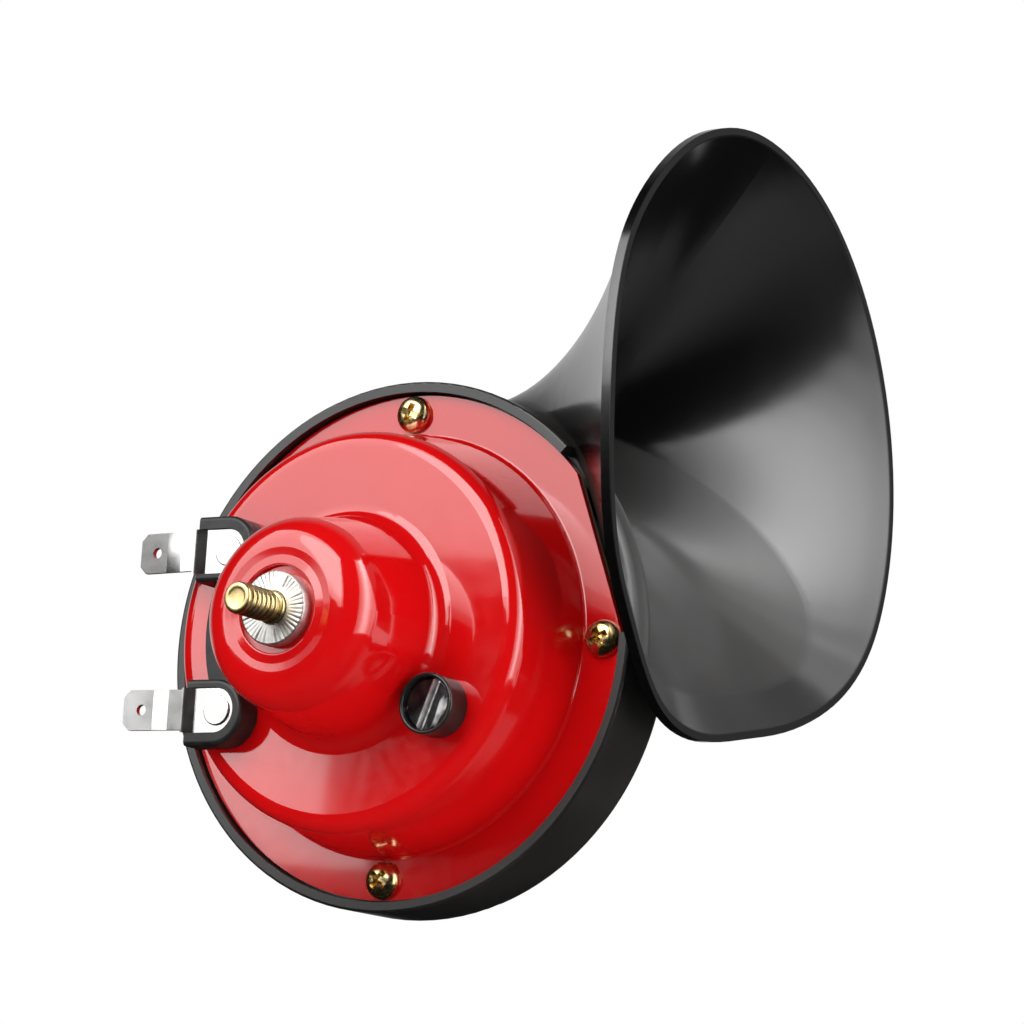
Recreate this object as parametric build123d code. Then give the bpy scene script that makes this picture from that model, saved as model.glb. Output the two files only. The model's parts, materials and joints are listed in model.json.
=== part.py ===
"""Electric snail horn, 12 V: pressed steel housing, magnet system, breaker and moulded spiral trumpet.

The pieces are drawn in a bench frame in millimetres: the stud axis is Z, Z = 0 is the outer face of the
housing's flange, and the bell mouth faces +X. At the end the horn is turned so that the stud axis lies
along -Y, +Z is up, and the origin is the centre of the face that the horn is mounted by.
"""
from build123d import *
import math
import os

# ---------------------------------------------------------------- driving dimensions
# steel housing
sheet = 1.0
flange_radius = 40.0
flange_chord_inset = 2.4
flange_chord_angle = 20.7
flange_width = 6.7
drum_taper = 2.3
drum_height = 16.0
boss_foot_radius = 17.3
boss_top_radius = 14.2
boss_height = 34.0
foot_fillet = 0.6
shoulder_fillet = 2.8
neck_fillet = 2.6
crown_fillet = 5.6
seat_recess_radius = 6.7
seat_recess_depth = 0.7
seat_bead_radius = 8.3
seat_bead_height = 0.16
seat_bead_fillet = 0.3

# mounting stud, washer and magnet system
stud_radius = 2.5
stud_length = 9.2
stud_engagement = 7.0
stud_root_radius = 2.0
stud_chamfer = 0.6
stud_root_gap = 0.15
washer_radius = 5.7
washer_thickness = 2.0
washer_relief_gap = 0.15
washer_relief_depth = 0.2
core_radius = 5.5
core_length = 8.3
bobbin_bore = 5.6
bobbin_wall = 1.0
bobbin_flange_inset = 2.6
bobbin_flange_thickness = 1.0
bobbin_length = 11.2
winding_inset = 0.8
retainer_thickness = 1.2
retainer_bore = 7.5
lead_hole_radius = 1.1
air_gap = 0.8

# diaphragm, gaskets and armature
gasket_thickness = 0.3
front_gasket_thickness = 0.5
diaphragm_thickness = 0.3
diaphragm_rib_inset = 18.0
diaphragm_rib_height = 0.6
diaphragm_edge_gap = 0.2
clamp_width = 6.0
plunger_radius = 5.2
armature_flange_radius = 9.0
armature_flange_thickness = 2.5
armature_neck_radius = 4.2
collar_radius = 10.5
collar_thickness = 1.0
collar_gap = 0.3
stem_radius = 2.0
stem_length = 3.9
stem_washer_thickness = 0.8
nut_flats = 7.0
nut_thickness = 2.2

# trumpet moulding
pan_overhang = 2.0
pan_depth = 11.8
pan_floor = 2.0
pan_edge_fillet = 1.5
rim_height = 1.5
rim_gap = 0.35
rim_fillet = 0.4
rim_open_start = 1.0
rim_open_end = 46.0
core_groove_inset = 3.6
core_groove_wall = 2.6
core_groove_depth = 4.6
screw_boss_radius = 3.8
bulge_height = 1.0
bulge_front_fillet = 3.0
bulge_back_fillet = 9.0
bell_axis_height = 34.4
bell_axis_depth = 24.75
mouth_distance = 47.0
mouth_radius = 50.0
mouth_shift = 2.25
lip_length = 1.7
lip_wall = 1.1
bell_wall = 1.5
flare_power = 1.72
tube_radius = 9.4
throat_radius = 5.4
tube_wall = 1.7
tube_step = 0.15
turn_offset = 4.0
third_turn = 21.5
neck_radius = 6.5
neck_bore = 4.5
web_width = 4.0
seam_width = 1.5
seam_thickness = 1.2

# the mouth is not quite round: a flat beside the pan, a corner below it, a flatter underside, a flatter far
# side and a fuller top, each as (direction round the bell, half width, change of radius)
mouth_features = (
    (94.0, 44.0, -3.8),
    (155.0, 23.0, 2.7),
    (195.5, 52.5, -4.9),
    (301.5, 65.0, -2.0),
    (20.5, 35.0, 0.8),
)
relief_angle = 123.0
relief_half_width = 40.0
relief_depth = 4.6

# cover screws
screw_inset = 3.1
screw_count = 4
screw_radius = 1.45
screw_clearance = 0.25
screw_length = 7.0
screw_head_radius = 2.95
screw_head_height = 2.0

# terminals
terminal_reach = 19.8
terminal_spread = 12.5
terminal_drop = 0.3
pad_reach = 20.1
pad_half_width = 5.2
pad_outset = 0.35
pad_length = 5.3
pad_height = 4.5
pad_rim = 1.65
pad_recess = 1.3
pad_fillet = 0.7
bridge_inner_radius = 21.0
bridge_outer_radius = 25.0
bridge_thickness = 1.2
bridge_half_angle = 32.0
spigot_radius = 2.3
tab_thickness = 0.8
tab_root_width = 6.9
tab_width = 6.3
tab_rise = 1.2
tab_bend_radius = 0.9
tab_joggle_start = 4.3
tab_joggle_length = 1.7
tab_blade_length = 10.6
tab_tip_chamfer = 1.1
tab_hole_radius = 0.85
tab_hole_inset = 3.3
upper_tab_lean = -4.5
lower_tab_lean = 3.5
rivet_radius = 1.5
rivet_head_radius = 2.4
rivet_head_height = 0.3
rivet_head_fillet = 0.2
rivet_tail_height = 1.0

# breaker
backing_thickness = 1.7
backing_inner_radius = 16.0
backing_inset = 3.7
backing_relief = 0.8
arm_thickness = 0.4
arm_inner_edge = 9.3
arm_width = 6.4
arm_end = 14.2
arm_root_overhang = 3.2
contact_reach = 12.2
contact_radius = 1.5
contact_pin_radius = 0.8
moving_contact_height = 0.5
contact_gap = 0.05
bracket_gap = 1.0
bracket_thickness = 0.8
bracket_inner_edge = 10.9
bracket_width = 4.4
bracket_end = 20.6
lug_position = 12.9
lug_width = 3.0
lug_reach = 2.9
insulator_radius = 3.0
insulator_sleeve = 0.6
lower_insulator_thickness = 0.8

# adjuster
adjuster_x = 18.6
adjuster_y = -12.5
bush_radius = 4.7
bush_height = 4.5
bush_rim = 0.65
bush_spigot_radius = 3.5
bush_spigot_length = 1.4
bush_floor = 1.6
bush_fillet = 0.3
adjuster_sink = 1.0
adjuster_shank_radius = 2.15
adjuster_tip_radius = 1.2
adjuster_tip_length = 0.9
adjuster_tip_gap = 0.1
running_clearance = 0.05
slot_width = 0.85
slot_depth = 0.9
slot_angle = 70.0

# coil leads
lead_radius = 0.35
lead_reach = 13.6
lead_rise = 2.9
lead_bend = 1.2
lead_gap = 0.1
ring_thickness = 0.6
ring_radius = 3.1

# how fine the moulded shapes are drawn
outline_points = 24
flare_stations = (0.0, 8.0, 16.0, 24.0, 31.0, 37.0, 42.0)

# ---------------------------------------------------------------- radii that follow the flange and the boss
flange_chord = flange_radius - flange_chord_inset
drum_foot_radius = flange_radius - flange_width
drum_top_radius = drum_foot_radius - drum_taper
screw_circle = flange_radius - screw_inset
pan_radius = flange_radius + pan_overhang
core_groove_inner = flange_radius - core_groove_inset
diaphragm_rib_radius = flange_radius - diaphragm_rib_inset
backing_outer_radius = drum_top_radius - backing_inset
bobbin_flange_radius = boss_top_radius - bobbin_flange_inset
winding_radius = bobbin_flange_radius - winding_inset

# ---------------------------------------------------------------- levels along the stud axis
boss_top = boss_height + seat_bead_height
recess_floor = boss_height - seat_recess_depth
mount_face = recess_floor + washer_thickness
core_top = recess_floor - sheet
core_bottom = core_top - core_length
plunger_top = core_bottom - air_gap
bobbin_top = core_top
bobbin_bottom = bobbin_top - bobbin_length
retainer_bottom = bobbin_bottom - retainer_thickness
lead_start = bobbin_bottom + lead_rise
drum_inside = drum_height - sheet
diaphragm_top = -sheet - gasket_thickness
diaphragm_bottom = diaphragm_top - diaphragm_thickness
ledge = diaphragm_bottom - front_gasket_thickness
pan_back = -pan_depth
chamber_floor = pan_back + pan_floor
ledge_inner_radius = flange_radius - clamp_width
seat_radius = flange_radius + rim_gap
backing_bottom = drum_inside - backing_thickness
arm_bottom = backing_bottom - arm_thickness
contact_face = arm_bottom - moving_contact_height
bracket_top = arm_bottom - bracket_gap
bracket_bottom = bracket_top - bracket_thickness
collar_top = arm_bottom - collar_gap
pad_top = drum_height + pad_height
pad_floor = pad_top - pad_recess
flare_length = mouth_distance - lip_length
flare_start_radius = tube_radius + tube_step
flare_end_radius = mouth_radius - lip_wall


def disc(radius, bottom, top, x=0.0, y=0.0):
    """A round bar parallel to Z between two levels."""
    return Pos(x, y, bottom) * Cylinder(radius, top - bottom, align=(Align.CENTER, Align.CENTER, Align.MIN))


def ring(outer, inner, bottom, top, x=0.0, y=0.0):
    """A flat washer or tube parallel to Z between two levels."""
    return disc(outer, bottom, top, x, y) - disc(inner, bottom, top, x, y)


def block(x_low, x_high, y_low, y_high, bottom, top):
    """A box given by its sides."""
    centre = Pos((x_low + x_high) / 2, (y_low + y_high) / 2, (bottom + top) / 2)
    return centre * Box(x_high - x_low, y_high - y_low, top - bottom)


def at_angle(radius, angle):
    """A point at a radius and an angle in the XY plane."""
    return radius * math.cos(math.radians(angle)), radius * math.sin(math.radians(angle))


def terminal_y(side):
    """Height of the upper (1) or lower (-1) terminal's centre line."""
    return side * terminal_spread - terminal_drop


def screw_places():
    """Centres of the cover screws round the flange."""
    return [at_angle(screw_circle, i * 360.0 / screw_count) for i in range(screw_count)]


def with_holes(body, radius, bottom, top):
    """The piece with a hole at every cover screw."""
    for x, y in screw_places():
        body -= disc(radius, bottom, top, x, y)
    return body


def chorded(radius, straight, bottom, top):
    """A disc with the straight side that clears the bell."""
    edge = block(straight, straight + radius, -radius, radius, bottom, top)
    return disc(radius, bottom, top) - Rot(0, 0, flange_chord_angle) * edge


def clamped(bottom, top):
    """A full disc of the pack that is clamped under the flange."""
    shrink = diaphragm_edge_gap
    return chorded(flange_radius - shrink, flange_chord - shrink, bottom, top)


def profile(corners):
    """A half section in the XZ plane from (radius, level, fillet) corners."""
    face = make_face(Polyline(*[(r, z) for r, z, f in corners], close=True))
    for r, z, f in corners:
        if f > 0:
            corner = face.vertices().sort_by_distance((r, z, 0))[0]
            face = fillet(corner, f)
    return Plane.XZ * face


def turned(corners):
    """A turned or drawn piece from its half section."""
    return revolve(profile(corners), Axis.Z)


# ---------------------------------------------------------------- housing and magnet system
def housing_line():
    """Outer half outline of the drawn housing, from the centre to beyond the flange."""
    return [
        (0.0, recess_floor, 0.0),
        (seat_recess_radius, recess_floor, 0.0),
        (seat_recess_radius, boss_top, seat_bead_fillet),
        (seat_bead_radius, boss_height, 0.0),
        (boss_top_radius, boss_height, crown_fillet),
        (boss_foot_radius, drum_height, neck_fillet),
        (drum_top_radius, drum_height, shoulder_fillet),
        (drum_foot_radius, 0.0, foot_fillet),
        (pan_radius, 0.0, 0.0),
    ]


def inner_line():
    """The inner half outline: the outer one moved in by the sheet, with fillets to match."""
    line = housing_line()
    moved = []
    for i, (r, z, f) in enumerate(line):
        before = line[max(i - 1, 0)]
        after = line[min(i + 1, len(line) - 1)]
        first = Vector(r - before[0], z - before[1]) if i > 0 else Vector(1, 0)
        second = Vector(after[0] - r, after[1] - z) if i + 1 < len(line) else Vector(1, 0)
        first = first.normalized()
        second = second.normalized()
        side = Vector(first.Y + second.Y, -first.X - second.X) / (1 + first.dot(second))
        convex = first.X * second.Y - first.Y * second.X < 0
        bend = max(f - sheet, 0.0) if convex else f + sheet
        bend = bend if f > 0 else 0.0
        moved.append((r + side.X * sheet, z + side.Y * sheet, bend))
    return moved


def housing_filled():
    """The housing as a full body, for cutting what lies against it."""
    return turned(housing_line() + [(pan_radius, -sheet, 0.0), (0.0, -sheet, 0.0)])


def housing_room():
    """The space inside the housing."""
    return turned(inner_line()[:-1] + [(flange_radius, -sheet, 0.0), (flange_radius, -2 * sheet, 0.0),
                                       (0.0, -2 * sheet, 0.0)])


def magnet_housing():
    """Drawn steel housing with flange, drum and boss."""
    body = housing_filled() & chorded(flange_radius, flange_chord, -sheet, boss_top)
    body -= housing_room()
    body = with_holes(body, screw_radius + screw_clearance, -sheet, 0.0)
    body -= disc(stud_root_radius + stud_root_gap, core_top, recess_floor)
    for side in (-1, 1):
        body -= disc(spigot_radius, drum_inside, drum_height, -terminal_reach, terminal_y(side))
    body -= disc(bush_spigot_radius, drum_inside, drum_height, adjuster_x, adjuster_y)
    return body


def mounting_stud():
    """Shouldered stud that clamps the washer and the boss to the core."""
    end = mount_face + stud_length
    return turned([
        (0.0, core_top - stud_engagement, 0.0),
        (stud_root_radius, core_top - stud_engagement, 0.0),
        (stud_root_radius, mount_face, 0.0),
        (stud_radius, mount_face, 0.0),
        (stud_radius, end - stud_chamfer, 0.0),
        (stud_radius - stud_chamfer, end, 0.0),
        (0.0, end, 0.0),
    ])


def serrated_washer():
    """Lock washer under the stud's shoulder."""
    body = ring(washer_radius, stud_root_radius + stud_root_gap, recess_floor, mount_face)
    return body - disc(stud_radius + washer_relief_gap, mount_face - washer_relief_depth, mount_face)


def fixed_core():
    """Steel core held under the boss by the stud."""
    body = disc(core_radius, core_bottom, core_top)
    return body - disc(stud_root_radius, core_top - stud_engagement, core_top)


def coil_bobbin():
    """Moulded spool of the coil."""
    body = ring(bobbin_bore + bobbin_wall, bobbin_bore, bobbin_bottom, bobbin_top)
    cheek = bobbin_flange_thickness
    body += ring(bobbin_flange_radius, bobbin_bore, bobbin_bottom, bobbin_bottom + cheek)
    body += ring(bobbin_flange_radius, bobbin_bore, bobbin_top - cheek, bobbin_top)
    return body


def coil_winding():
    """Copper winding between the spool's cheeks."""
    cheek = bobbin_flange_thickness
    return ring(winding_radius, bobbin_bore + bobbin_wall, bobbin_bottom + cheek, bobbin_top - cheek)


def coil_retainer():
    """Pressed ring that holds the spool up in the boss."""
    body = ring(boss_foot_radius, retainer_bore, retainer_bottom, bobbin_bottom) & housing_room()
    for x, y in lead_places():
        body -= disc(lead_hole_radius, retainer_bottom, bobbin_bottom, x, y)
    return body


# ---------------------------------------------------------------- diaphragm pack and armature
def rear_gasket():
    """Paper ring between the housing and the diaphragm."""
    body = clamped(diaphragm_top, -sheet) - disc(ledge_inner_radius, diaphragm_top, -sheet)
    return with_holes(body, screw_radius + screw_clearance, diaphragm_top, -sheet)


def front_gasket():
    """Paper ring between the diaphragm and the trumpet."""
    body = clamped(ledge, diaphragm_bottom) - disc(ledge_inner_radius, ledge, diaphragm_bottom)
    return with_holes(body, screw_radius + screw_clearance, ledge, diaphragm_bottom)


def diaphragm():
    """Spring steel disc with one raised ring and the armature's hole."""
    body = clamped(diaphragm_bottom, diaphragm_top)
    crest = diaphragm_top + diaphragm_rib_height
    reach = 2 * diaphragm_rib_height + diaphragm_thickness
    rib = turned([
        (diaphragm_rib_radius - reach, diaphragm_top, 0.0),
        (diaphragm_rib_radius - diaphragm_thickness, crest, 0.0),
        (diaphragm_rib_radius + diaphragm_thickness, crest, 0.0),
        (diaphragm_rib_radius + reach, diaphragm_top, 0.0),
    ])
    inside = diaphragm_rib_height + diaphragm_thickness
    hollow = turned([
        (diaphragm_rib_radius - reach, diaphragm_bottom, 0.0),
        (diaphragm_rib_radius - diaphragm_thickness, diaphragm_bottom + inside - diaphragm_thickness, 0.0),
        (diaphragm_rib_radius + diaphragm_thickness, diaphragm_bottom + inside - diaphragm_thickness, 0.0),
        (diaphragm_rib_radius + reach, diaphragm_bottom, 0.0),
    ])
    body = body + rib - hollow
    body -= disc(stem_radius, diaphragm_bottom, diaphragm_top)
    return with_holes(body, screw_radius + screw_clearance, diaphragm_bottom, diaphragm_top)


def armature():
    """Turned steel armature: foot on the diaphragm, collar under the contact arm, plunger in the spool."""
    foot = diaphragm_top + armature_flange_thickness
    collar_bottom = collar_top - collar_thickness
    return turned([
        (0.0, diaphragm_top - stem_length, 0.0),
        (stem_radius, diaphragm_top - stem_length, 0.0),
        (stem_radius, diaphragm_top, 0.0),
        (armature_flange_radius, diaphragm_top, 0.0),
        (armature_flange_radius, foot, 0.0),
        (armature_neck_radius, foot, 0.0),
        (armature_neck_radius, collar_bottom, 0.0),
        (collar_radius, collar_bottom, 0.0),
        (collar_radius, collar_top, 0.0),
        (plunger_radius, collar_top, 0.0),
        (plunger_radius, plunger_top, 0.0),
        (0.0, plunger_top, 0.0),
    ])


def diaphragm_washer():
    """Washer under the diaphragm's centre."""
    low = diaphragm_bottom - stem_washer_thickness
    return ring(armature_flange_radius, stem_radius, low, diaphragm_bottom)


def armature_nut():
    """Hexagon nut that clamps the diaphragm to the armature."""
    top = diaphragm_bottom - stem_washer_thickness
    hexagon = RegularPolygon(nut_flats / 2, 6, major_radius=False)
    body = Pos(0, 0, top - nut_thickness) * extrude(hexagon, nut_thickness)
    return body - disc(stem_radius, top - nut_thickness, top)


# ---------------------------------------------------------------- trumpet moulding
def window(angle, centre, half_width):
    """A smooth hump from 0 to 1 and back, round the bell's axis."""
    away = (angle - centre + 180.0) % 360.0 - 180.0
    if abs(away) >= half_width:
        return 0.0
    return math.cos(math.radians(90.0 * away / half_width)) ** 2


def flare_radius(station):
    """Round part of the flare's outer radius at a distance from the bell's start."""
    share = (station / flare_length) ** flare_power
    return flare_start_radius + (flare_end_radius - flare_start_radius) * share


def flare_slope(station):
    """How fast the flare opens."""
    rise = (flare_end_radius - flare_start_radius) * flare_power / flare_length
    return rise * (station / flare_length) ** (flare_power - 1)


def out_of_round(station, angle):
    """What the flats, the corner and the relief beside the pan add to the round radius."""
    share = station / mouth_distance
    total = sum(depth * window(angle, centre, half) for centre, half, depth in mouth_features) * share ** 2
    middle = 4.0 * share * (1.0 - share)
    return total - middle * relief_depth * window(angle, relief_angle, relief_half_width)


def bell_outline(station, round_radius):
    """Closed outline across the bell at a distance from its start."""
    points = []
    for i in range(outline_points):
        angle = i * 360.0 / outline_points
        y, z = at_angle(round_radius + out_of_round(station, angle), angle)
        drift = (station / mouth_distance) ** 2
        y += bell_axis_height
        z -= bell_axis_depth + mouth_shift * drift
        points.append((station, y, z))
    return Wire([Spline(*points, periodic=True)])


def flare_outside():
    """The flare as a full body."""
    outlines = [bell_outline(u, flare_radius(u)) for u in flare_stations]
    outlines.append(bell_outline(flare_length, flare_end_radius))
    return Solid.make_loft(outlines)


def flare_inside():
    """The room inside the flare, out to the mouth."""
    outlines = []
    for u in flare_stations:
        wall = bell_wall * math.hypot(1.0, flare_slope(u))
        outlines.append(bell_outline(u, flare_radius(u) - wall))
    outlines.append(bell_outline(mouth_distance, mouth_radius - lip_wall))
    return Solid.make_loft(outlines)


def lip():
    """Short collar round the mouth."""
    outline = Face(bell_outline(mouth_distance, mouth_radius))
    return extrude(outline, lip_length, dir=(-1, 0, 0))


def volute_turns():
    """Arcs of the wound tube's centre line, from the bell inwards, and their radii."""
    first = bell_axis_height - turn_offset
    second = third_turn + turn_offset
    inner = (second + third_turn - first) / 2
    return [
        CenterArc((0, turn_offset), first, 90, 90),
        CenterArc((second - first, turn_offset), second, 180, 90),
        CenterArc((second - first, 0), third_turn, 270, 90),
        CenterArc((inner, 0), inner, 0, 180),
    ]


def volute(step):
    """The wound tube as a full body, larger or smaller than its outside by a step."""
    turns = volute_turns()
    whole = sum(arc.length for arc in turns)
    run = 0.0
    body = Part()
    for arc in turns:
        start = tube_radius + (throat_radius - tube_radius) * run / whole + step
        run += arc.length
        end = tube_radius + (throat_radius - tube_radius) * run / whole + step
        ends = [
            Plane(arc @ 0, z_dir=arc % 0) * Circle(start),
            Plane(arc @ 1, z_dir=arc % 1) * Circle(end),
        ]
        body += sweep(ends, path=arc, multisection=True)
    return Pos(0, 0, -bell_axis_depth) * body


def neck(radius, bottom, top):
    """The upright passage between the wound tube and the chamber."""
    return disc(radius, bottom, top)


def tube_bore():
    """The air way in the wound tube and its neck."""
    bottom = -bell_axis_depth - throat_radius + tube_wall
    return volute(-tube_wall) + neck(neck_bore, bottom, chamber_floor)


def half_space(low, high):
    """A slab across the whole moulding."""
    reach = 2 * pan_radius
    return block(-reach, reach, -reach, reach, low, high)


def web():
    """The rib that joins the wound tube to the back of the pan."""
    turns = volute_turns()
    strip = Sketch()
    for arc in turns:
        strip += trace(arc, web_width)
    return Pos(0, 0, -bell_axis_depth) * extrude(strip, bell_axis_depth - pan_depth)


def pan_outside():
    """The round pan as a full body, its rim left off where the bell rises beside the flange."""
    body = turned([
        (0.0, pan_back, 0.0),
        (pan_radius, pan_back, pan_edge_fillet),
        (pan_radius, rim_height, rim_fillet),
        (0.0, rim_height, 0.0),
    ])
    reach = 2 * pan_radius
    opening = Polyline((0, 0), at_angle(reach, rim_open_start), at_angle(reach, rim_open_end), close=True)
    return body - Pos(0, 0, ledge) * extrude(make_face(opening), rim_height - ledge)


def pan_bulge():
    """The part of the pan that stands out inside the bell."""
    return turned([
        (0.0, pan_back, 0.0),
        (pan_radius, pan_back, bulge_back_fillet),
        (pan_radius, bulge_height, bulge_front_fillet),
        (0.0, bulge_height, 0.0),
    ])


def pan_room():
    """Everything that is hollow in the pan: seat, coring groove, pilot holes and chamber."""
    high = bell_axis_height
    room = chorded(seat_radius, flange_chord + rim_gap, ledge, high)
    groove_floor = ledge - core_groove_depth
    groove = ring(pan_radius - core_groove_wall, core_groove_inner, groove_floor, ledge)
    for x, y in screw_places():
        groove -= disc(screw_boss_radius, groove_floor, ledge, x, y)
    room += groove
    for x, y in screw_places():
        room += disc(screw_radius, -screw_length - screw_clearance, ledge, x, y)
    room += disc(ledge_inner_radius, chamber_floor, ledge)
    return room


def trumpet_body():
    """Moulded pan, bell and front half of the wound tube, in one piece."""
    floor = -bell_axis_depth
    tube = volute(0.0) + neck(neck_radius, floor, chamber_floor)
    seam = volute(seam_width) & half_space(floor, floor + seam_thickness)
    tube = tube & half_space(floor, chamber_floor)
    body = flare_outside() + lip() + pan_outside() + tube + seam + web()
    body -= flare_inside() - pan_bulge()
    body -= tube_bore()
    body -= pan_room()
    return body


def volute_cover():
    """Moulded rear half of the wound tube."""
    floor = -bell_axis_depth
    bottom = floor - throat_radius
    tube = volute(0.0) + neck(neck_radius, bottom, floor)
    seam = volute(seam_width) & half_space(floor - seam_thickness, floor)
    body = (tube & half_space(floor - 2 * tube_radius, floor)) + seam
    body = body - flare_outside()
    return body - tube_bore()


# ---------------------------------------------------------------- screws and terminals
def cover_screw(place):
    """Pan head screw."""
    x, y = place
    crown = screw_head_height / 3
    body = turned([
        (0.0, -screw_length, 0.0),
        (screw_radius / 2, -screw_length, 0.0),
        (screw_radius, -screw_length + screw_radius, 0.0),
        (screw_radius, 0.0, 0.0),
        (screw_head_radius, 0.0, 0.0),
        (screw_head_radius, screw_head_height - crown, crown),
        (screw_head_radius - crown, screw_head_height, 0.0),
        (0.0, screw_head_height, 0.0),
    ])
    return Pos(x, y, 0) * body


def pad(side, low, high, inset=0.0, outset=0.0):
    """The D-shaped foot round one rivet, moved away from the boss by the outset."""
    radius = pad_half_width - inset
    y = terminal_y(side) + side * outset
    body = disc(radius, low, high, -pad_reach, y)
    return body + block(-pad_reach - pad_length, -pad_reach, y - radius, y + radius, low, high)


def terminal_block():
    """Moulded insulator with a D-shaped pad for each terminal and a bridge round the boss."""
    body = ring(bridge_outer_radius, bridge_inner_radius, drum_height, drum_height + bridge_thickness)
    wedge = Polyline((0, 0), at_angle(2 * pan_radius, 180 - bridge_half_angle),
                     at_angle(2 * pan_radius, 180 + bridge_half_angle), close=True)
    body &= Pos(0, 0, drum_height) * extrude(make_face(wedge), bridge_thickness)
    for side in (-1, 1):
        y = terminal_y(side)
        foot = pad(side, drum_height, pad_top, outset=pad_outset)
        foot = fillet(foot.edges().group_by(Axis.Z)[-1].filter_by(GeomType.CIRCLE), pad_fillet)
        body += foot
        body -= pad(side, pad_floor, pad_top, pad_rim)
        body += disc(spigot_radius, drum_inside, drum_height, -terminal_reach, y)
    body -= housing_filled() & half_space(drum_height, boss_top)
    for side in (-1, 1):
        body -= disc(rivet_radius, drum_inside, pad_top, -terminal_reach, terminal_y(side))
    return body


def terminal_tab(side, lean):
    """Blade terminal with a step up from its rivet to the blade."""
    level = pad_floor + tab_thickness / 2
    foot_x = -terminal_reach - tab_joggle_start
    blade_x = foot_x - tab_joggle_length
    blade_z = level + tab_rise
    tip_x = blade_x - tab_blade_length * math.cos(math.radians(lean))
    tip_z = blade_z + tab_blade_length * math.sin(math.radians(lean))
    root_end = -pad_reach + tab_root_width / 2
    line = FilletPolyline((root_end, level), (foot_x, level), (blade_x, blade_z), (tip_x, tip_z),
                          radius=tab_bend_radius)
    strip = extrude(Plane.XZ * trace(line, tab_thickness), tab_root_width / 2, both=True)
    half = tab_width / 2
    root = tab_root_width / 2
    cut = tab_tip_chamfer
    plan = make_face(Polyline(
        (-pad_reach, -root), (blade_x, -root), (blade_x, -half), (tip_x + cut, -half), (tip_x, cut - half),
        (tip_x, half - cut), (tip_x + cut, half), (blade_x, half), (blade_x, root), (-pad_reach, root),
        close=True)) + Pos(-pad_reach, 0) * Circle(root)
    high = pad_top + bell_axis_depth
    strip &= Pos(0, 0, drum_height) * extrude(plan, high)
    strip -= disc(rivet_radius, drum_height, high, -terminal_reach)
    strip -= disc(tab_hole_radius, drum_height, high, tip_x + tab_hole_inset)
    return Pos(0, terminal_y(side), 0) * strip


def terminal_rivet(side, tail_level):
    """Rivet from the terminal down through the insulators to its upset tail."""
    top = pad_floor + tab_thickness
    y = terminal_y(side)
    head = disc(rivet_head_radius, top, top + rivet_head_height)
    head = fillet(head.edges().group_by(Axis.Z)[-1], rivet_head_fillet)
    body = head + disc(rivet_radius, tail_level - rivet_tail_height, top)
    body += disc(rivet_head_radius, tail_level - rivet_tail_height, tail_level)
    return Pos(-terminal_reach, y, 0) * body


# ---------------------------------------------------------------- breaker
def backing_plate():
    """Insulating plate under the drum's face, cut away over the contact arm."""
    body = ring(backing_outer_radius, backing_inner_radius, backing_bottom, drum_inside)
    free = -terminal_reach + insulator_radius
    outer_edge = arm_inner_edge + arm_width + backing_relief
    body -= block(free, arm_end + backing_relief, -outer_edge, 0.0, backing_bottom, drum_inside)
    for side in (-1, 1):
        body -= disc(rivet_radius, backing_bottom, drum_inside, -terminal_reach, terminal_y(side))
    body -= disc(bush_spigot_radius, backing_bottom, drum_inside, adjuster_x, adjuster_y)
    return body


def contact_arm():
    """Spring leaf from the lower rivet past the armature's collar to the moving contact."""
    low = -terminal_reach - arm_root_overhang
    body = block(low, arm_end, -arm_inner_edge - arm_width, -arm_inner_edge, arm_bottom, backing_bottom)
    body -= disc(rivet_radius, arm_bottom, backing_bottom, -terminal_reach, terminal_y(-1))
    return body - disc(contact_pin_radius, arm_bottom, backing_bottom, contact_reach, terminal_y(-1))


def moving_contact():
    """Contact button riveted into the arm."""
    body = disc(contact_radius, contact_face, arm_bottom, contact_reach, terminal_y(-1))
    return body + disc(contact_pin_radius, arm_bottom, backing_bottom, contact_reach, terminal_y(-1))


def contact_bracket():
    """Stiff strip under the arm that carries the fixed contact, with a lug for the coil lead."""
    low = -terminal_reach - arm_root_overhang
    outer_edge = -bracket_inner_edge - bracket_width
    body = block(low, bracket_end, outer_edge, -bracket_inner_edge, bracket_bottom, bracket_top)
    body += block(-lug_position - lug_width / 2, -lug_position + lug_width / 2,
                  -bracket_inner_edge, -bracket_inner_edge + lug_reach, bracket_bottom, bracket_top)
    hole = rivet_radius + insulator_sleeve
    body -= disc(hole, bracket_bottom, bracket_top, -terminal_reach, terminal_y(-1))
    return body - disc(contact_pin_radius, bracket_bottom, bracket_top, contact_reach, terminal_y(-1))


def fixed_contact():
    """Contact button riveted into the bracket."""
    body = disc(contact_radius, bracket_top, contact_face - contact_gap, contact_reach, terminal_y(-1))
    return body + disc(contact_pin_radius, bracket_bottom, bracket_top, contact_reach, terminal_y(-1))


def contact_insulator():
    """Bobbin-shaped insulator that parts the bracket from the arm and the rivet."""
    x = -terminal_reach
    y = terminal_y(-1)
    body = disc(insulator_radius, bracket_top, arm_bottom, x, y)
    body += disc(rivet_radius + insulator_sleeve, bracket_bottom, bracket_top, x, y)
    return body - disc(rivet_radius, bracket_bottom, arm_bottom, x, y)


def lower_insulator():
    """Washer between the bracket and the rivet's tail."""
    low = bracket_bottom - lower_insulator_thickness
    return ring(insulator_radius, rivet_radius, low, bracket_bottom, -terminal_reach, terminal_y(-1))


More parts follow.
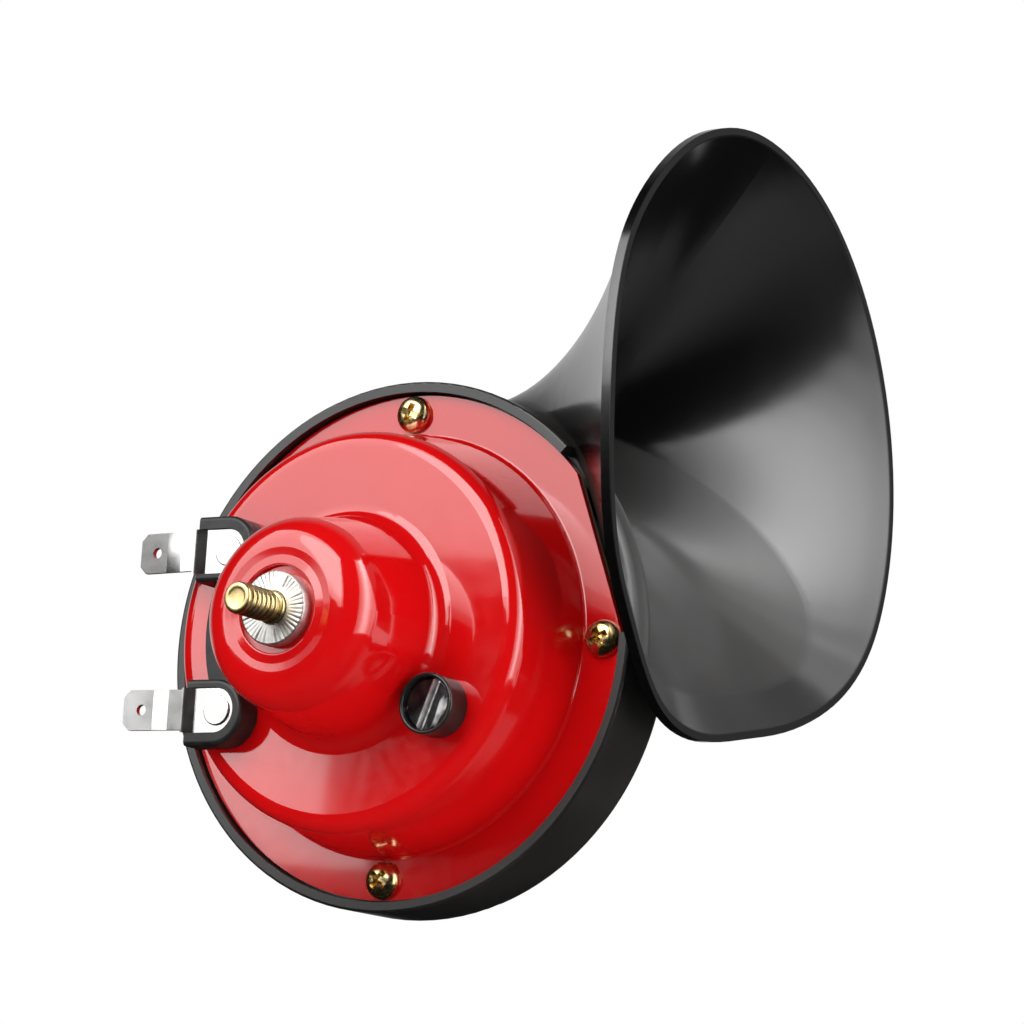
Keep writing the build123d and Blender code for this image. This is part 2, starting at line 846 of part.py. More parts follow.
def adjuster_bush():
    """Moulded guard round the adjusting screw."""
    top = drum_height + bush_height
    body = turned([
        (0.0, drum_inside - bush_spigot_length + sheet, 0.0),
        (bush_spigot_radius, drum_inside - bush_spigot_length + sheet, 0.0),
        (bush_spigot_radius, drum_height, 0.0),
        (bush_radius, drum_height, 0.0),
        (bush_radius, top, bush_fillet),
        (bush_radius - bush_rim, top, bush_fillet),
        (bush_radius - bush_rim, drum_height + bush_floor, 0.0),
        (0.0, drum_height + bush_floor, 0.0),
    ])
    body -= disc(adjuster_shank_radius + running_clearance, drum_inside - bush_spigot_length, top)
    body = Pos(adjuster_x, adjuster_y, 0) * body
    return body - (housing_filled() & half_space(drum_height, boss_top))


def adjuster_screw():
    """Slotted screw whose tip bends the contact bracket."""
    top = drum_height + bush_height - adjuster_sink
    tip = bracket_top + adjuster_tip_gap
    head = bush_radius - bush_rim - running_clearance
    body = turned([
        (0.0, tip, 0.0),
        (adjuster_tip_radius, tip, 0.0),
        (adjuster_tip_radius, tip + adjuster_tip_length, 0.0),
        (adjuster_shank_radius, tip + adjuster_tip_length, 0.0),
        (adjuster_shank_radius, drum_height + bush_floor, 0.0),
        (head, drum_height + bush_floor, 0.0),
        (head, top, bush_fillet),
        (0.0, top, 0.0),
    ])
    slot = block(-head, head, -slot_width / 2, slot_width / 2, top - slot_depth, top)
    body -= Rot(0, 0, slot_angle) * slot
    return Pos(adjuster_x, adjuster_y, 0) * body


# ---------------------------------------------------------------- coil leads
def ring_angle():
    """Direction of the upper terminal's rivet from the stud axis."""
    return math.degrees(math.atan2(terminal_y(1), -terminal_reach))


def lead_places():
    """Where the two coil leads pass down through the retainer."""
    drop = math.sqrt(lead_reach ** 2 - lug_position ** 2)
    return [at_angle(lead_reach, ring_angle()), (-lug_position, -drop)]


def wire(points):
    """Round wire along a line with rounded bends."""
    line = FilletPolyline(*points, radius=lead_bend)
    return sweep(Plane(line @ 0, z_dir=line % 0) * Circle(lead_radius), path=line)


def coil_lead_supply():
    """Lead from the winding to a ring under the upper terminal's rivet."""
    angle = ring_angle()
    low = backing_bottom - lead_radius - lead_gap
    reach = math.hypot(terminal_reach, terminal_y(1)) - ring_radius
    body = wire([
        (*at_angle(winding_radius, angle), lead_start),
        (*at_angle(lead_reach, angle), lead_start),
        (*at_angle(lead_reach, angle), low),
        (*at_angle(reach, angle), low),
    ])
    bottom = backing_bottom - ring_thickness
    eye = ring(ring_radius, rivet_radius, bottom, backing_bottom, -terminal_reach, terminal_y(1))
    return body, eye


def coil_lead_breaker():
    """Lead from the winding to the lug of the contact bracket."""
    x, y = lead_places()[1]
    angle = math.degrees(math.atan2(y, x))
    low = (bracket_bottom + bracket_top) / 2
    return wire([
        (*at_angle(winding_radius, angle), lead_start),
        (x, y, lead_start),
        (x, y, low),
        (x, -bracket_inner_edge + lug_reach, low),
    ])


def place(body):
    """Turn a bench piece into the horn's own frame."""
    return Rot(90, 0, 0) * Pos(0, 0, -mount_face) * body


def pieces():
    """Every piece by name, in the bench frame."""
    named = {
        "trumpet_body": trumpet_body(),
        "volute_cover": volute_cover(),
        "magnet_housing": magnet_housing(),
        "mounting_stud": mounting_stud(),
        "serrated_washer": serrated_washer(),
        "fixed_core": fixed_core(),
        "coil_bobbin": coil_bobbin(),
        "coil_winding": coil_winding(),
        "coil_retainer": coil_retainer(),
        "rear_gasket": rear_gasket(),
        "front_gasket": front_gasket(),
        "diaphragm": diaphragm(),
        "armature": armature(),
        "diaphragm_washer": diaphragm_washer(),
        "armature_nut": armature_nut(),
        "terminal_block": terminal_block(),
        "terminal_tab_upper": terminal_tab(1, upper_tab_lean),
        "terminal_tab_lower": terminal_tab(-1, lower_tab_lean),
        "terminal_rivet_upper": terminal_rivet(1, backing_bottom - ring_thickness),
        "terminal_rivet_lower": terminal_rivet(-1, bracket_bottom - lower_insulator_thickness),
        "backing_plate": backing_plate(),
        "contact_arm": contact_arm(),
        "moving_contact": moving_contact(),
        "contact_bracket": contact_bracket(),
        "fixed_contact": fixed_contact(),
        "contact_insulator": contact_insulator(),
        "lower_insulator": lower_insulator(),
        "adjuster_bush": adjuster_bush(),
        "adjuster_screw": adjuster_screw(),
        "coil_lead_breaker": coil_lead_breaker(),
    }
    supply, eye = coil_lead_supply()
    named["coil_lead_supply"] = supply
    named["lead_eye"] = eye
    for side, spot in zip(("right", "top", "left", "bottom"), screw_places()):
        named["cover_screw_" + side] = cover_screw(spot)
    return named


def main():
    """Write one file per piece."""
    os.makedirs("parts", exist_ok=True)
    for name, body in pieces().items():
        export_step(place(body), "parts/" + name + ".step")


if __name__ == "__main__":
    main()
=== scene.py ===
"""Looks of the snail horn: finishes, threads, driving recesses and washer teeth, floor, lights and camera."""
import json
import math

import bmesh
import bpy
from mathutils import Matrix, Quaternion, Vector

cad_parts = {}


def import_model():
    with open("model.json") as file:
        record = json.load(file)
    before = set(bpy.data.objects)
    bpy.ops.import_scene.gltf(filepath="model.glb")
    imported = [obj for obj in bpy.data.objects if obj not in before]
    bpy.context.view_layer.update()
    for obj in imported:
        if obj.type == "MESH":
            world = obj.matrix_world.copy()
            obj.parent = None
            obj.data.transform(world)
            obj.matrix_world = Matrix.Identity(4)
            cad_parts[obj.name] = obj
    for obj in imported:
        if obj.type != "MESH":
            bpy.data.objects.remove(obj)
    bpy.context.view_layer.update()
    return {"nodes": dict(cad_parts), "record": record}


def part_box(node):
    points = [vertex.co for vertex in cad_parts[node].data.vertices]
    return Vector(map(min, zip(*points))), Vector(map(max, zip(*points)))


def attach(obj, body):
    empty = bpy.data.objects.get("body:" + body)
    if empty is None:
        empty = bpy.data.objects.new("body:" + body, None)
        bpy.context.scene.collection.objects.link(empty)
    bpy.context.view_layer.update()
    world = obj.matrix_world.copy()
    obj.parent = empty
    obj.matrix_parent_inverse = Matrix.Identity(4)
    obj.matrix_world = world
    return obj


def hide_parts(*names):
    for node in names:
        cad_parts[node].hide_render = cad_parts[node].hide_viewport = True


MM = 0.001
WHITE = (1.0, 1.0, 1.0, 1.0)
Y_AXIS = (0.0, 1.0, 0.0)

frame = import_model()
NODES = frame["nodes"]


# ---------------------------------------------------------------- node helpers
# An owner is anything with a node tree: a material or the world. A value is a socket or a number.
def new_material(name):
    """An empty procedural material and its Principled shader."""
    material = bpy.data.materials.new(name)
    material.use_nodes = True
    return material, shader_of(material)


def shader_of(material):
    """The Principled shader of a material."""
    return material.node_tree.nodes["Principled BSDF"]


def add_node(owner, kind, **values):
    """A node with its properties and inputs set by name."""
    node = owner.node_tree.nodes.new(kind)
    for key, value in values.items():
        if hasattr(node, key):
            setattr(node, key, value)
        else:
            node.inputs[key].default_value = value
    return node


def link(owner, source, target):
    """Joins two sockets."""
    owner.node_tree.links.new(source, target)


def feed(owner, value, target):
    """Gives a socket a value."""
    if isinstance(value, float):
        target.default_value = value
    else:
        link(owner, value, target)


def object_point(owner):
    """Position on the surface, in metres in the horn's frame."""
    return add_node(owner, "ShaderNodeTexCoord").outputs["Object"]


def split_point(owner, point):
    """The three parts of a position."""
    split = add_node(owner, "ShaderNodeSeparateXYZ")
    link(owner, point, split.inputs["Vector"])
    return split.outputs


def along(owner, axis):
    """Place along one axis of the object."""
    return split_point(owner, object_point(owner))[axis]


def axis_distance(owner):
    """Distance from the stud's axis."""
    parts = split_point(owner, object_point(owner))
    across = add_node(owner, "ShaderNodeCombineXYZ")
    link(owner, parts["X"], across.inputs["X"])
    link(owner, parts["Z"], across.inputs["Y"])
    length = add_node(owner, "ShaderNodeVectorMath", operation="LENGTH")
    link(owner, across.outputs["Vector"], length.inputs[0])
    return length.outputs["Value"]


def scaled(owner, point, scale):
    """A position with each part scaled."""
    mapping = add_node(owner, "ShaderNodeMapping", Scale=scale)
    link(owner, point, mapping.inputs["Vector"])
    return mapping.outputs["Vector"]


def maths(owner, operation, first, second, use_clamp=False):
    """Two values put together."""
    node = add_node(owner, "ShaderNodeMath", operation=operation, use_clamp=use_clamp)
    feed(owner, first, node.inputs[0])
    feed(owner, second, node.inputs[1])
    return node.outputs["Value"]


def mixed(owner, factor, first, second, colour=False):
    """Two values or colours blended by a factor."""
    node = add_node(owner, "ShaderNodeMix", data_type="RGBA" if colour else "FLOAT")
    start = 6 if colour else 2
    link(owner, factor, node.inputs[0])
    feed(owner, first, node.inputs[start])
    feed(owner, second, node.inputs[start + 1])
    return node.outputs[2 if colour else 0]


def noise(owner, scale, detail=3.0, roughness=0.5, stretch=None):
    """Noise over the object, its size set by scale per metre, drawn out along an axis by stretch."""
    texture = add_node(owner, "ShaderNodeTexNoise", Scale=scale, Detail=detail, Roughness=roughness)
    source = object_point(owner)
    if stretch:
        source = scaled(owner, source, stretch)
    link(owner, source, texture.inputs["Vector"])
    return texture.outputs["Fac"]


def ramp(owner, source, low, high, start=0.35, end=0.65):
    """Maps a value onto a range of numbers."""
    node = add_node(owner, "ShaderNodeMapRange")
    node.inputs["From Min"].default_value = start
    node.inputs["From Max"].default_value = end
    node.inputs["To Min"].default_value = low
    node.inputs["To Max"].default_value = high
    link(owner, source, node.inputs["Value"])
    return node.outputs["Result"]


def step(owner, source, start, end):
    """Goes from 0 to 1 between two values."""
    return ramp(owner, source, 0.0, 1.0, start, end)


def blend_colour(owner, source, first, second):
    """Maps a noise value onto two colours."""
    node = add_node(owner, "ShaderNodeMix", data_type="RGBA")
    node.inputs[6].default_value = (*first, 1.0)
    node.inputs[7].default_value = (*second, 1.0)
    link(owner, ramp(owner, source, 0.0, 1.0), node.inputs[0])
    return node.outputs[2]


def bump(material, source, strength, distance):
    """Adds fine relief, on top of what the shader has already."""
    node = add_node(material, "ShaderNodeBump", Strength=strength, Distance=distance)
    normal = shader_of(material).inputs["Normal"]
    if normal.links:
        link(material, normal.links[0].from_socket, node.inputs["Normal"])
    link(material, source, node.inputs["Height"])
    link(material, node.outputs["Normal"], normal)


def relief(material, height):
    """Adds relief from a height in metres."""
    bump(material, height, 1.0, 1.0)


# ---------------------------------------------------------------- finishes
# the boss's top rises from the washer's seat towards its rim, on its upper side
DISH_RADII = (8.3 * MM, 9.6 * MM)
DISH_RISE = 0.14 * MM
DISH_FADE = (-2.0 * MM, 4.0 * MM)
# outside the first two radii of the moulding lies the bell, and past the last two places its lip
PAN_EDGE = (42.3 * MM, 43.3 * MM)
LIP_EDGE = (46.75 * MM, 46.95 * MM)
# the upper blade leans back by this slope up to the first distance from its tip, and by none from the second
TIP_LEAN = 0.095
TIP_BEND = (5.4 * MM, 8.2 * MM)
# painted highlight of bright metal in the adjuster's slot, from one depth to the other, and on both sides of
# its middle
SLOT_ANGLE = 70.0
SLOT_DEPTHS = (0.25 * MM, 0.5 * MM)
SLOT_EDGES = (0.5 * MM, 0.75 * MM)


def red_enamel():
    """Stoved gloss enamel with faint orange peel."""
    material, shader = new_material("red_enamel")
    patches = noise(material, 45.0)
    link(material, blend_colour(material, patches, (0.50, 0.0022, 0.0030), (0.54, 0.0026, 0.0036)),
         shader.inputs["Base Color"])
    link(material, ramp(material, noise(material, 500.0), 0.09, 0.13), shader.inputs["Roughness"])
    shader.inputs["Coat Weight"].default_value = 1.0
    shader.inputs["Coat Roughness"].default_value = 0.035
    bump(material, noise(material, 300.0, 1.0), 0.03, 0.0003)
    dish = ramp(material, axis_distance(material), 0.0, DISH_RISE, *DISH_RADII)
    upper = step(material, along(material, "Z"), *DISH_FADE)
    relief(material, maths(material, "MULTIPLY", dish, upper))
    return material


def black_moulding():
    """Black moulding with soft flow variation, glossy in the bell, duller on the pan, dull on the lip."""
    material, shader = new_material("black_moulding")
    bell = step(material, axis_distance(material), *PAN_EDGE)
    lip = step(material, along(material, "X"), *LIP_EDGE)
    patches = noise(material, 35.0)
    gloss = blend_colour(material, patches, (0.0012, 0.0011, 0.0011), (0.0022, 0.0021, 0.0021))
    dull = blend_colour(material, patches, (0.011, 0.010, 0.0095), (0.018, 0.0165, 0.0155))
    link(material, mixed(material, bell, dull, gloss, True), shader.inputs["Base Color"])
    flow = noise(material, 28.0, 4.0, 0.55, (1.0, 1.0, 0.35))
    fine = ramp(material, flow, 0.13, 0.22)
    coarse = ramp(material, flow, 0.34, 0.46)
    rough = mixed(material, bell, coarse, fine)
    link(material, mixed(material, lip, rough, 0.55), shader.inputs["Roughness"])
    link(material, mixed(material, lip, 0.5, 0.22), shader.inputs["Specular IOR Level"])
    coat = ramp(material, axis_distance(material), 0.4, 1.0, *PAN_EDGE)
    link(material, mixed(material, lip, coat, 0.0), shader.inputs["Coat Weight"])
    shader.inputs["Coat Roughness"].default_value = 0.15
    bump(material, noise(material, 260.0, 2.0), 0.04, 0.0004)
    bump(material, noise(material, 2600.0, 2.0), 0.02, 0.0001)
    return material


def black_insulator(name, low, high):
    """Moulded insulator between two roughnesses."""
    material, shader = new_material(name)
    patches = noise(material, 300.0)
    link(material, blend_colour(material, patches, (0.008, 0.008, 0.008), (0.016, 0.015, 0.014)),
         shader.inputs["Base Color"])
    link(material, ramp(material, noise(material, 700.0), low, high), shader.inputs["Roughness"])
    bump(material, noise(material, 1800.0, 3.0), 0.12, 0.0001)
    return material


def plated(name, first, second, low, high, scale=400.0, scratch=0.05, stretch=(1.0, 1.0, 1.0)):
    """Plated metal with cloudy colour, uneven gloss and fine handling marks."""
    material, shader = new_material(name)
    link(material, blend_colour(material, noise(material, scale, 4.0), first, second),
         shader.inputs["Base Color"])
    link(material, ramp(material, noise(material, scale * 2.2, 4.0), low, high), shader.inputs["Roughness"])
    shader.inputs["Metallic"].default_value = 1.0
    bump(material, noise(material, scale * 5.0, 3.0, 0.6, stretch), scratch, 0.0001)
    return material


def matt(name, first, second, scale=500.0):
    """Plain matt finish of the hidden insulators, papers and moulded spool."""
    material, shader = new_material(name)
    link(material, blend_colour(material, noise(material, scale, 4.0), first, second),
         shader.inputs["Base Color"])
    link(material, ramp(material, noise(material, scale * 2.0), 0.55, 0.75), shader.inputs["Roughness"])
    bump(material, noise(material, scale * 4.0, 4.0), 0.15, 0.0001)
    return material


def tab_nickel():
    """Nickel of the tabs, with the upper blade's surface leaning back towards its tip."""
    material = plated("nickel", (0.58, 0.575, 0.565), (0.66, 0.655, 0.645), 0.17, 0.25, 120.0, 0.015,
                      (1, 1, 8))
    low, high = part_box("terminal_tab_upper")
    start, end = TIP_BEND
    lean = ramp(material, along(material, "X"), TIP_LEAN, 0.0, low.x + start, low.x + end)
    half = (high.z - low.z) / 2
    height = ramp(material, along(material, "Z"), -half, half, low.z, high.z)
    relief(material, maths(material, "MULTIPLY", lean, height))
    return material


def adjuster_black():
    """Blackened steel with bright metal painted in and beside the slot as a painted highlight, and a few
    bright streaks.
    """
    material, shader = new_material("black_screw")
    low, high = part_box("adjuster_screw")
    middle = (low + high) / 2
    turned = add_node(material, "ShaderNodeVectorRotate", rotation_type="AXIS_ANGLE")
    link(material, object_point(material), turned.inputs["Vector"])
    turned.inputs["Center"].default_value = middle
    turned.inputs["Axis"].default_value = Y_AXIS
    turned.inputs["Angle"].default_value = math.radians(SLOT_ANGLE)
    point = turned.outputs["Vector"]
    across = split_point(material, point)["Z"]
    near, far = SLOT_EDGES
    above = step(material, across, middle.z - far, middle.z - near)
    below = ramp(material, across, 1.0, 0.0, middle.z + near, middle.z + far)
    beside = maths(material, "MULTIPLY", above, below)
    texture = add_node(material, "ShaderNodeTexNoise", Scale=420.0, Detail=2.0)
    link(material, scaled(material, point, (0.35, 1.0, 1.6)), texture.inputs["Vector"])
    bright_streaks = ramp(material, texture.outputs["Fac"], 0.0, 0.8, 0.58, 0.66)
    shallow, deep = SLOT_DEPTHS
    inside = step(material, along(material, "Y"), low.y + shallow, low.y + deep)
    # painted highlight: bright metal in and beside the slot and deeper in, with a few bright streaks
    slot_glint_and_streaks = maths(material, "MAXIMUM", maths(material, "MAXIMUM", beside, bright_streaks), inside)
    black = blend_colour(material, noise(material, 500.0), (0.012, 0.012, 0.013), (0.035, 0.035, 0.038))
    glint_metal = blend_colour(material, noise(material, 900.0, 4.0), (0.50, 0.50, 0.50), (0.80, 0.80, 0.79))
    link(material, mixed(material, slot_glint_and_streaks, black, glint_metal, True), shader.inputs["Base Color"])
    link(material, ramp(material, noise(material, 900.0, 4.0), 0.12, 0.24), shader.inputs["Roughness"])
    shader.inputs["Metallic"].default_value = 0.7
    bump(material, noise(material, 1500.0, 3.0), 0.06, 0.0001)
    return material


def winding_copper():
    """Enamelled wire laid in rows, with painted shade darkening the grooves between rows."""
    material, shader = new_material("winding_copper")
    waves = add_node(material, "ShaderNodeTexWave", bands_direction="Y", Scale=800.0, Distortion=0.4)
    link(material, object_point(material), waves.inputs["Vector"])
    rows = waves.outputs["Fac"]
    # painted shade: the colour goes dark in the grooves between rows, where the relief dips
    link(material, blend_colour(material, rows, (0.30, 0.09, 0.03), (0.72, 0.30, 0.13)),
         shader.inputs["Base Color"])
    shader.inputs["Metallic"].default_value = 0.8
    link(material, ramp(material, noise(material, 900.0), 0.28, 0.4), shader.inputs["Roughness"])
    bump(material, rows, 0.5, 0.0002)
    return material


FINISHES = {
    "red_paint": red_enamel(),
    "black_moulding": black_moulding(),
    "black_insulator": black_insulator("black_insulator", 0.34, 0.46),
    "bush": black_insulator("bush_insulator", 0.16, 0.24),
    "nickel": tab_nickel(),
    "bright_zinc": plated("bright_zinc", (0.62, 0.63, 0.65), (0.78, 0.79, 0.80), 0.22, 0.34),
    "washer": plated("washer_zinc", (0.70, 0.69, 0.66), (0.84, 0.83, 0.79), 0.42, 0.55, 500.0),
    "yellow_zinc": plated("yellow_zinc", (0.62, 0.46, 0.19), (0.82, 0.68, 0.38), 0.16, 0.28, 700.0),
    "stud": plated("stud_zinc", (0.66, 0.49, 0.20), (0.80, 0.64, 0.33), 0.27, 0.36, 500.0, 0.02),
    "black_screw": adjuster_black(),
    "plain_steel": plated("plain_steel", (0.36, 0.36, 0.37), (0.5, 0.5, 0.51), 0.3, 0.45),
    "spring_steel": plated("spring_steel", (0.3, 0.31, 0.33), (0.42, 0.43, 0.45), 0.25, 0.4),
    "contact_metal": plated("contact_metal", (0.3, 0.3, 0.32), (0.4, 0.4, 0.42), 0.3, 0.5),
    "copper": winding_copper(),
    "white_nylon": matt("white_nylon", (0.62, 0.6, 0.55), (0.74, 0.73, 0.68)),
    "laminate": matt("laminate", (0.16, 0.07, 0.03), (0.27, 0.14, 0.07)),
    "gasket_paper": matt("gasket_paper", (0.3, 0.23, 0.14), (0.42, 0.33, 0.22)),
}
NODE_FINISH = {"adjuster_bush": "bush"}


def finish_nodes():
    """Gives every CAD node the finish of its material slot."""
    for part in frame["record"]["subparts"]:
        node = NODES[part["node"]]
        finish = FINISHES[NODE_FINISH.get(part["node"], part["material_slot"])]
        node.data.materials.clear()
        node.data.materials.append(finish)


# ---------------------------------------------------------------- mesh helpers
def add_piece(name, mesh, body, finish):
    """Puts a smooth mesh in the scene as a piece that rides on a body."""
    mesh.materials.append(FINISHES[finish])
    mesh.shade_smooth()
    piece = bpy.data.objects.new(name, mesh)
    bpy.context.scene.collection.objects.link(piece)
    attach(piece, body)
    return piece


def closed_mesh(name, shape):
    """A mesh from a closed shape, its faces turned outwards."""
    bmesh.ops.recalc_face_normals(shape, faces=shape.faces)
    mesh = bpy.data.meshes.new(name)
    shape.to_mesh(mesh)
    shape.free()
    return mesh


def turned_mesh(name, count, columns, point, ring=False):
    """A closed mesh about the -Y axis, from point(row, angle) giving radius and depth.

    The last row of a ring joins its first. Other meshes get a cap at both ends.
    """
    shape = bmesh.new()
    rows = []
    for row in range(count):
        verts = []
        for column in range(columns):
            angle = 2.0 * math.pi * column / columns
            radius, depth = point(row, angle)
            verts.append(shape.verts.new((radius * math.cos(angle), depth, radius * math.sin(angle))))
        rows.append(verts)
    for low, high in zip(rows, rows[1:] + rows[:1] if ring else rows[1:]):
        for i in range(columns):
            j = (i + 1) % columns
            shape.faces.new((low[i], low[j], high[j], high[i]))
    if not ring:
        shape.faces.new(rows[0])
        shape.faces.new(list(reversed(rows[-1])))
    return closed_mesh(name, shape)


def sharpen(mesh, degrees):
    """Marks the edges that turn more than an angle as sharp."""
    mesh.set_sharp_from_angle(angle=math.radians(degrees))


def turned_by(point, degrees):
    """A point turned about the Y axis."""
    return Matrix.Rotation(math.radians(degrees), 3, "Y") @ point


# ---------------------------------------------------------------- stud and washer
STUD_CREST = 2.45 * MM
STUD_PITCH = 1.15 * MM
THREAD_DEPTH = 0.42 * MM
COLLAR_RADIUS = 2.5 * MM
COLLAR_LENGTH = 0.6 * MM
THREAD_START = 0.95 * MM
TIP_LAND = 0.45 * MM
TIP_CHAMFER = 0.35 * MM
DIMPLE_RADIUS = 1.45 * MM
STUD_COLUMNS = 48
ROWS_PER_PITCH = 14


def stud_thread():
    """The stud with its foot collar, rolled thread, rounded tip and dimpled end."""
    low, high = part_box("mounting_stud")
    reach = -low.y
    root = high.y
    run = reach - THREAD_START - TIP_LAND - TIP_CHAMFER
    rows = int(ROWS_PER_PITCH * run / STUD_PITCH)
    waist = STUD_CREST - THREAD_DEPTH
    foot = [(waist, root), (waist, 0.0), (COLLAR_RADIUS, 0.0), (COLLAR_RADIUS, -COLLAR_LENGTH * 0.75),
            (COLLAR_RADIUS - 0.15 * MM, -COLLAR_LENGTH), (waist, -COLLAR_LENGTH - 0.1 * MM)]
    tip = STUD_CREST - TIP_CHAMFER
    land = STUD_CREST - 0.06 * MM
    end = [(land, -reach + TIP_CHAMFER + TIP_LAND * 0.8),
           (land, -reach + TIP_CHAMFER),
           (tip + 0.18 * MM, -reach + TIP_CHAMFER * 0.35), (tip, -reach),
           (DIMPLE_RADIUS + 0.12 * MM, -reach), (DIMPLE_RADIUS, -reach + 0.05 * MM),
           (DIMPLE_RADIUS - 0.25 * MM, -reach + 0.09 * MM), (0.4 * MM, -reach + 0.11 * MM)]

    def point(row, angle):
        if row < len(foot):
            return foot[row]
        place = row - len(foot)
        if place >= rows:
            return end[place - rows]
        length = (place + 0.5) / rows * run
        phase = length / STUD_PITCH + angle / (2.0 * math.pi)
        crest = (0.5 + 0.5 * math.cos(2.0 * math.pi * phase)) ** 1.5
        fade = min(length / (0.6 * STUD_PITCH), 1.0)
        return STUD_CREST - THREAD_DEPTH * (1.0 - crest * fade), -THREAD_START - length

    mesh = turned_mesh("stud_thread", len(foot) + rows + len(end), STUD_COLUMNS, point)
    sharpen(mesh, 50)
    piece = add_piece("stud_thread", mesh, "horn", "stud")
    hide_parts("mounting_stud")


WASHER_BORE = 2.62 * MM
WASHER_TEETH = 44
TOOTH_DEPTH = 0.13 * MM
COLUMNS_PER_TOOTH = 6


def washer_teeth():
    """The lock washer with uneven radial teeth on its outer face."""
    _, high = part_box("serrated_washer")
    outer = high.x
    back = high.y
    # radius, depth, and the share of the tooth's depth that is cut there
    profile = [
        (WASHER_BORE, back, 0.0),
        (outer, back, 0.0),
        (outer, 0.45 * MM, 0.1),
        (outer - 0.1 * MM, 0.16 * MM, 0.5),
        (outer - 0.3 * MM, 0.02 * MM, 0.8),
        (outer - 0.8 * MM, 0.0, 1.0),
        (3.6 * MM, 0.0, 0.8),
        (3.2 * MM, 0.0, 0.0),
        (WASHER_BORE, 0.0, 0.0),
    ]

    def point(row, angle):
        radius, depth, share = profile[row]
        turn = angle * WASHER_TEETH / (2.0 * math.pi)
        tooth = math.floor(turn)
        cut = 0.55 + 0.45 * math.sin(2.4 * tooth + 0.7) * math.cos(1.3 * tooth)
        valley = 1.0 - min(abs(2.0 * (turn % 1.0) - 1.0) * 1.7, 1.0)
        return radius, depth + share * TOOTH_DEPTH * cut * valley

    columns = WASHER_TEETH * COLUMNS_PER_TOOTH
    mesh = turned_mesh("washer_teeth", len(profile), columns, point, ring=True)
    sharpen(mesh, 25)
    piece = add_piece("washer_teeth", mesh, "horn", "washer")
    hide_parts("serrated_washer")


# ---------------------------------------------------------------- cover screws
SCREW_TURN = {"top": 22.0, "right": 62.0, "bottom": 40.0, "left": 10.0}
SCREW_HEAD_HEIGHT = 2.0 * MM
SCREW_SHANK = 1.45 * MM
SCREW_COLUMNS = 48
# the head's outline from its crown: share of its radius, share of its height
SCREW_CROWN = ((0.12, 0.0), (0.34, 0.01), (0.52, 0.05), (0.68, 0.13), (0.81, 0.25), (0.91, 0.4),
               (0.97, 0.57), (1.0, 0.77), (1.0, 0.94), (0.98, 1.0))
CROSS_LENGTH = 3.9 * MM
CROSS_WIDTH = 1.15 * MM
CROSS_DEPTH = 1.35 * MM


def cross_cutter(centre, turn):
    """A tapered cross for the driving recess, its open end at the head's crown."""
    shape = bmesh.new()
    for quarter in (0.0, 90.0):
        corners = []
        for depth, share in ((-0.5 * MM, 1.08), (CROSS_DEPTH, 0.35)):
            long = CROSS_LENGTH / 2 * share
            wide = CROSS_WIDTH / 2 * (0.5 + share / 2)
            for x, z in ((-long, -wide), (long, -wide), (long, wide), (-long, wide)):
                corner = turned_by(Vector((x, depth, z)), turn + quarter) + centre
                corners.append(shape.verts.new(corner))
        low, high = corners[:4], corners[4:]
        shape.faces.new(low)
        shape.faces.new(list(reversed(high)))
        for i in range(4):
            j = (i + 1) % 4
            shape.faces.new((low[i], high[i], high[j], low[j]))
    return closed_mesh("cross_cutter", shape)


def cover_screw(side):
    """Pan head screw with its driving recess, in place of the plain solid."""
    node = "cover_screw_" + side
    low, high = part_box(node)
    centre = Vector(((low.x + high.x) / 2, low.y, (low.z + high.z) / 2))
    head = (high.x - low.x) / 2
    height = high.y - low.y
    outline = [(head * radius, SCREW_HEAD_HEIGHT * depth) for radius, depth in SCREW_CROWN]
    outline += [(SCREW_SHANK, SCREW_HEAD_HEIGHT), (SCREW_SHANK, height - SCREW_SHANK),
                (SCREW_SHANK / 2, height)]
    mesh = turned_mesh(node + "_head", len(outline), SCREW_COLUMNS, lambda row, angle: outline[row])
    mesh.transform(Matrix.Translation(centre))
    body = bpy.data.objects.new("uncut", mesh)
    cutter = bpy.data.objects.new("cutter", cross_cutter(centre, SCREW_TURN[side]))
    for thing in (body, cutter):
        bpy.context.scene.collection.objects.link(thing)
    cut = body.modifiers.new("cut", "BOOLEAN")
    cut.operation = "DIFFERENCE"
    cut.object = cutter
    cut.solver = "EXACT"
    cut.use_self = True
    bpy.context.view_layer.update()
    graph = bpy.context.evaluated_depsgraph_get()
    result = bpy.data.meshes.new_from_object(body.evaluated_get(graph))
    for thing in (body, cutter):
        bpy.data.objects.remove(thing)
    result.name = node + "_cross"
    result.materials.clear()
    piece = add_piece(node + "_cross", result, "horn", "yellow_zinc")
    sharpen(result, 35)
    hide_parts(node)


# ---------------------------------------------------------------- camera
CAMERA_PLACE = (0.3411, -0.4817, -0.0936)
CAMERA_RIGHT = (0.853, 0.518, 0.061)
CAMERA_UP = (0.044, -0.189, 0.981)
CAMERA_BACK = (0.520, -0.834, -0.184)
CAMERA_LENS = 140.6


def camera():
    """The camera at the viewing angle of the picture."""
    data = bpy.data.cameras.new("camera")
    data.lens = CAMERA_LENS
    data.sensor_width = 36.0
    data.clip_start = 0.01
    data.clip_end = 50.0
    view = bpy.data.objects.new("camera", data)
    bpy.context.scene.collection.objects.link(view)
    turn = Matrix((CAMERA_RIGHT, CAMERA_UP, CAMERA_BACK)).transposed()
    view.matrix_world = Matrix.Translation(CAMERA_PLACE) @ turn.to_4x4()
    bpy.context.scene.camera = view


# ---------------------------------------------------------------- lamps
LIT_CENTRE = Vector((0.0, 0.03, 0.01))
